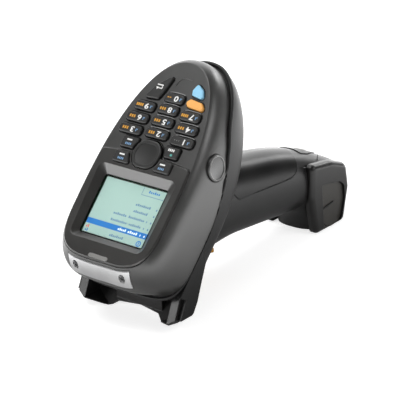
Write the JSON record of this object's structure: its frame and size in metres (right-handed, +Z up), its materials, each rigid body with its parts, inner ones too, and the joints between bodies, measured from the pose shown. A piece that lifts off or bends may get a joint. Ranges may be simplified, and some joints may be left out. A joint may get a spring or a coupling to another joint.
{
  "type": "portable barcode data terminal",
  "caption": "Pistol-grip handheld data terminal with a display, number keys, a navigation rocker, a trigger and a slide-out battery in the grip.",
  "frame": {"origin": "middle of the footprint of the whole object, on the surface that its nose feet and grip foot stand on", "axes": "+X across the head, to the right of someone who looks at the display; +Y from the display head to the foot of the grip; +Z up from the surface"},
  "size_m": [0.0792, 0.2006, 0.1307],
  "materials": {
    "battery_contacts": "gilt",
    "battery_foot": "fine texture",
    "battery_latch": "black",
    "battery_pack": "matt",
    "board_spacers": "plain",
    "display_bezel": "satin, dark grey",
    "display_window": "clear",
    "dome_sheet": "film",
    "engine_bracket": "plain",
    "foot_blocks": "satin, near black",
    "grip_pad": "matt",
    "grip_screws": "plain",
    "grip_shell": "satin, dark charcoal",
    "housing_screws": "plain",
    "housing_seal": "matt",
    "key_0": "matt",
    "key_1": "matt",
    "key_2": "matt",
    "key_3": "matt",
    "key_4": "matt",
    "key_5": "matt",
    "key_6": "matt",
    "key_7": "matt",
    "key_8": "matt",
    "key_9": "matt",
    "key_blue": "matt",
    "key_board": "circuit board",
    "key_enter": "matt",
    "key_orange": "matt",
    "key_soft_lower_left": "matt",
    "key_soft_lower_right": "matt",
    "key_soft_upper_left": "matt",
    "key_soft_upper_right": "matt",
    "lamp_lens": "frosted",
    "latch_spring": "plain",
    "lcd_module": "lit panel",
    "lower_housing": "fine texture, dark charcoal",
    "main_board": "circuit board",
    "nameplate": "satin",
    "nameplate_screws": "satin",
    "nav_cradle": "plain",
    "nav_gimbal": "plain",
    "nav_pad": "matt",
    "nose_bumper": "matt",
    "scan_engine": "matt",
    "scan_window": "dark red tint",
    "side_caps": "satin",
    "trigger": "satin, amber",
    "trigger_pin": "plain",
    "trigger_spring": "plain",
    "trigger_switch": "plain",
    "upper_housing": "fine texture, mid grey"
  },
  "bodies": {
    "terminal": {"battery_contacts": "battery_contacts", "board_spacers": "board_spacers", "display_bezel": "display_bezel", "display_window": "display_window", "dome_sheet": "dome_sheet", "engine_bracket": "engine_bracket", "grip_pad": "grip_pad", "grip_screws": "grip_screws", "grip_shell": "grip_shell", "housing_screws": "housing_screws", "housing_seal": "housing_seal", "key_board": "key_board", "lamp_lens": "lamp_lens", "latch_spring": "latch_spring", "lcd_module": "lcd_module", "lower_housing": "lower_housing", "main_board": "main_board", "nameplate": "nameplate", "nameplate_screws": "nameplate_screws", "nav_cradle": "nav_cradle", "nose_bumper": "nose_bumper", "scan_engine": "scan_engine", "scan_window": "scan_window", "side_caps": "side_caps", "trigger_pin": "trigger_pin", "trigger_spring": "trigger_spring", "trigger_switch": "trigger_switch", "upper_housing": "upper_housing"},
    "key_0_body": {"key_0": "key_0"},
    "key_1_body": {"key_1": "key_1"},
    "key_2_body": {"key_2": "key_2"},
    "key_3_body": {"key_3": "key_3"},
    "key_4_body": {"key_4": "key_4"},
    "key_5_body": {"key_5": "key_5"},
    "key_6_body": {"key_6": "key_6"},
    "key_7_body": {"key_7": "key_7"},
    "key_8_body": {"key_8": "key_8"},
    "key_9_body": {"key_9": "key_9"},
    "key_blue_body": {"key_blue": "key_blue"},
    "key_enter_body": {"key_enter": "key_enter"},
    "key_orange_body": {"key_orange": "key_orange"},
    "key_soft_lower_left_body": {"key_soft_lower_left": "key_soft_lower_left"},
    "key_soft_lower_right_body": {"key_soft_lower_right": "key_soft_lower_right"},
    "key_soft_upper_left_body": {"key_soft_upper_left": "key_soft_upper_left"},
    "key_soft_upper_right_body": {"key_soft_upper_right": "key_soft_upper_right"},
    "nav_ring": {"nav_gimbal": "nav_gimbal"},
    "nav_rocker": {"nav_pad": "nav_pad"},
    "trigger_lever": {"trigger": "trigger"},
    "battery": {"battery_pack": "battery_pack", "battery_foot": "battery_foot", "foot_blocks": "foot_blocks"},
    "battery_release": {"battery_latch": "battery_latch"}
  },
  "joints": [
    {"name": "key_0_press", "type": "slide", "parent": "terminal", "child": "key_0_body", "axis": [0, 0.7083, -0.7059], "range_m": [0, 0.0006], "stiffness_N_per_m": 1000, "springref_m": -0.0005},
    {"name": "key_1_press", "type": "slide", "parent": "terminal", "child": "key_1_body", "axis": [0, 0.7083, -0.7059], "range_m": [0, 0.0006], "stiffness_N_per_m": 1000, "springref_m": -0.0005},
    {"name": "key_2_press", "type": "slide", "parent": "terminal", "child": "key_2_body", "axis": [0, 0.7083, -0.7059], "range_m": [0, 0.0006], "stiffness_N_per_m": 1000, "springref_m": -0.0005},
    {"name": "key_3_press", "type": "slide", "parent": "terminal", "child": "key_3_body", "axis": [0, 0.7083, -0.7059], "range_m": [0, 0.0006], "stiffness_N_per_m": 1000, "springref_m": -0.0005},
    {"name": "key_4_press", "type": "slide", "parent": "terminal", "child": "key_4_body", "axis": [0, 0.7083, -0.7059], "range_m": [0, 0.0006], "stiffness_N_per_m": 1000, "springref_m": -0.0005},
    {"name": "key_5_press", "type": "slide", "parent": "terminal", "child": "key_5_body", "axis": [0, 0.7083, -0.7059], "range_m": [0, 0.0006], "stiffness_N_per_m": 1000, "springref_m": -0.0005},
    {"name": "key_6_press", "type": "slide", "parent": "terminal", "child": "key_6_body", "axis": [0, 0.7083, -0.7059], "range_m": [0, 0.0006], "stiffness_N_per_m": 1000, "springref_m": -0.0005},
    {"name": "key_7_press", "type": "slide", "parent": "terminal", "child": "key_7_body", "axis": [0, 0.7083, -0.7059], "range_m": [0, 0.0006], "stiffness_N_per_m": 1000, "springref_m": -0.0005},
    {"name": "key_8_press", "type": "slide", "parent": "terminal", "child": "key_8_body", "axis": [0, 0.7083, -0.7059], "range_m": [0, 0.0006], "stiffness_N_per_m": 1000, "springref_m": -0.0005},
    {"name": "key_9_press", "type": "slide", "parent": "terminal", "child": "key_9_body", "axis": [0, 0.7083, -0.7059], "range_m": [0, 0.0006], "stiffness_N_per_m": 1000, "springref_m": -0.0005},
    {"name": "key_blue_press", "type": "slide", "parent": "terminal", "child": "key_blue_body", "axis": [0, 0.7083, -0.7059], "range_m": [0, 0.0006], "stiffness_N_per_m": 1000, "springref_m": -0.0005},
    {"name": "key_enter_press", "type": "slide", "parent": "terminal", "child": "key_enter_body", "axis": [0, 0.7083, -0.7059], "range_m": [0, 0.0006], "stiffness_N_per_m": 1000, "springref_m": -0.0005},
    {"name": "key_orange_press", "type": "slide", "parent": "terminal", "child": "key_orange_body", "axis": [0, 0.7083, -0.7059], "range_m": [0, 0.0006], "stiffness_N_per_m": 1000, "springref_m": -0.0005},
    {"name": "key_soft_lower_left_press", "type": "slide", "parent": "terminal", "child": "key_soft_lower_left_body", "axis": [0, 0.7083, -0.7059], "range_m": [0, 0.0006], "stiffness_N_per_m": 1000, "springref_m": -0.0005},
    {"name": "key_soft_lower_right_press", "type": "slide", "parent": "terminal", "child": "key_soft_lower_right_body", "axis": [0, 0.7083, -0.7059], "range_m": [0, 0.0006], "stiffness_N_per_m": 1000, "springref_m": -0.0005},
    {"name": "key_soft_upper_left_press", "type": "slide", "parent": "terminal", "child": "key_soft_upper_left_body", "axis": [0, 0.7083, -0.7059], "range_m": [0, 0.0006], "stiffness_N_per_m": 1000, "springref_m": -0.0005},
    {"name": "key_soft_upper_right_press", "type": "slide", "parent": "terminal", "child": "key_soft_upper_right_body", "axis": [0, 0.7083, -0.7059], "range_m": [0, 0.0006], "stiffness_N_per_m": 1000, "springref_m": -0.0005},
    {"name": "nav_tilt_updown", "type": "hinge", "parent": "terminal", "child": "nav_ring", "pos_m": [0, -0.04988, 0.08592], "axis": [1, 0, 0], "range_deg": [-3, 3], "stiffness_Nm_per_rad": 0.2},
    {"name": "nav_tilt_sideways", "type": "hinge", "parent": "nav_ring", "child": "nav_rocker", "pos_m": [0, -0.04988, 0.08592], "axis": [0, 0.7059, 0.7083], "range_deg": [-3, 3], "stiffness_Nm_per_rad": 0.2},
    {"name": "trigger_pull", "type": "hinge", "parent": "terminal", "child": "trigger_lever", "pos_m": [0, -0.04054, 0.02824], "axis": [1, 0, 0], "range_deg": [0, 8], "stiffness_Nm_per_rad": 0.6, "springref_deg": -6, "deforming": ["trigger_spring"]},
    {"name": "battery_slide", "type": "slide", "parent": "terminal", "child": "battery", "axis": [0, 0.9839, -0.1788], "range_m": [0, 0.08]},
    {"name": "battery_release_press", "type": "slide", "parent": "terminal", "child": "battery_release", "axis": [0, -0.1788, -0.9839], "range_m": [0, 0.0016], "stiffness_N_per_m": 1500, "springref_m": -0.0015, "deforming": ["latch_spring"]}
  ]
}
